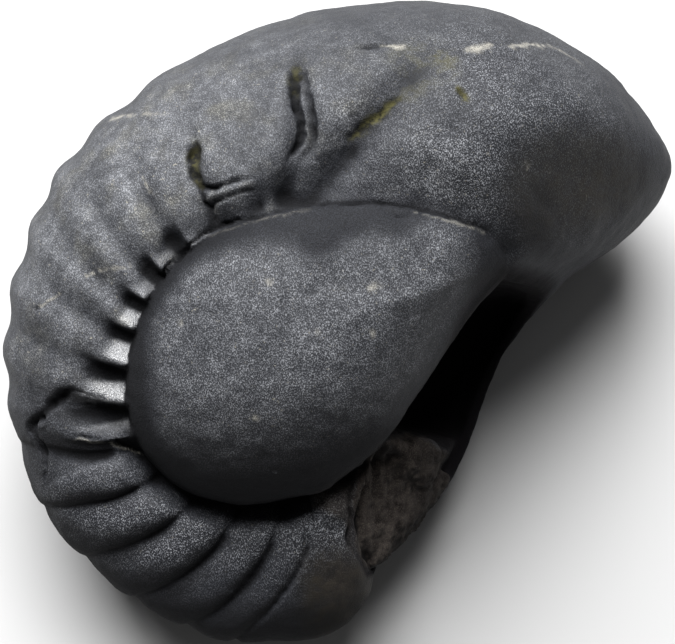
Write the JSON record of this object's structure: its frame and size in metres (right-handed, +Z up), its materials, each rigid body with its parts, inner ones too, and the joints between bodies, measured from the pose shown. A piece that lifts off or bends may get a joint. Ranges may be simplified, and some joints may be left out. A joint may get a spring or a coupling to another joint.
{
  "type": "shaligram stone",
  "caption": "Black water-worn river stone holding one coiled ribbed ammonite, with a smooth domed side, a broad nose and an open mouth part filled with rough matrix.",
  "frame": {"origin": "middle of the bounding box in plan, on the surface the stone rests on", "axes": "+Z up from the worn base facet, +X along the longest extent toward the nose and mouth, +Y toward the top of the coil"},
  "size_m": [0.0998, 0.0942, 0.0554],
  "materials": {
    "stone": "water-worn black stone with a dusty grey bloom, matt, with a low sheen on the worn rib ends"
  },
  "bodies": {
    "root": {"shaligram_stone": "stone"}
  },
  "joints": []
}
